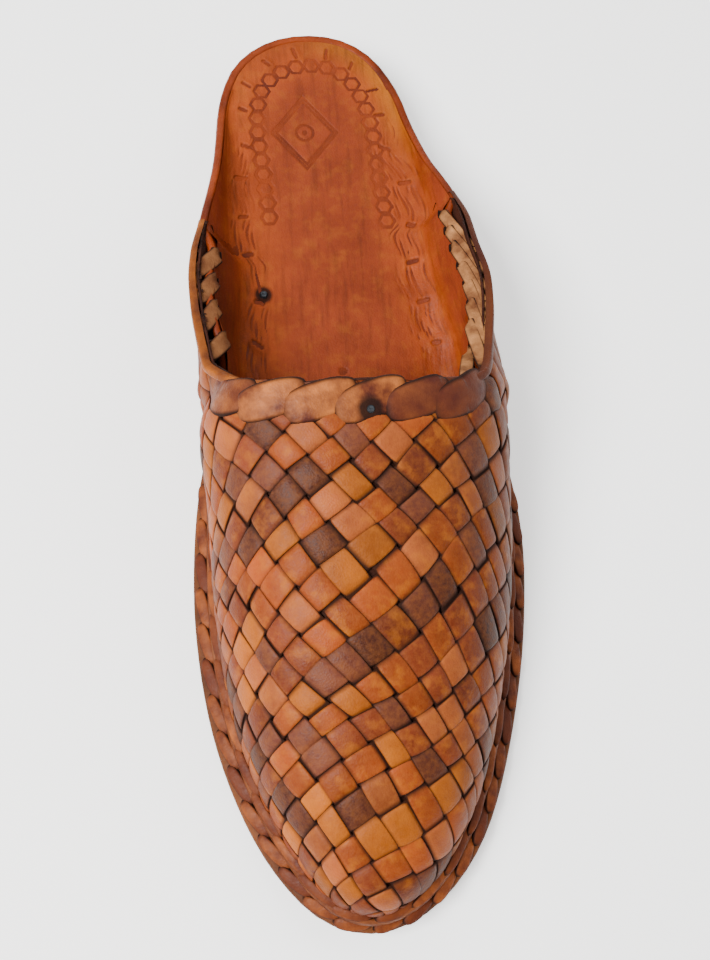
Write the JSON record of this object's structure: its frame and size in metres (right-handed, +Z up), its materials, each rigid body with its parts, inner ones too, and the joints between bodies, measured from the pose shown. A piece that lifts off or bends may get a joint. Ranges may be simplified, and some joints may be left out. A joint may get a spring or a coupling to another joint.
{
  "type": "woven mule",
  "caption": "Backless slip-on leather shoe for the left foot, with a plaited vamp, an open heel and a flat stacked sole.",
  "frame": {"origin": "middle of the heel's ground face, on the floor that the shoe stands on", "axes": "+Z up, -Y towards the toe, +X towards the outer side of the left foot"},
  "size_m": [0.0954, 0.27, 0.062],
  "materials": {
    "footbed": "smooth, waxed",
    "footbed_tack": "dull",
    "heel": "stacked, cut edge",
    "outsole": "cut edge, burnished",
    "rand": "smooth",
    "throat_tack": "dull",
    "upper": "grained, antiqued"
  },
  "bodies": {
    "root": {"footbed": "footbed", "footbed_tack": "footbed_tack", "heel": "heel", "outsole": "outsole", "rand": "rand", "throat_tack": "throat_tack", "upper": "upper"}
  },
  "joints": []
}
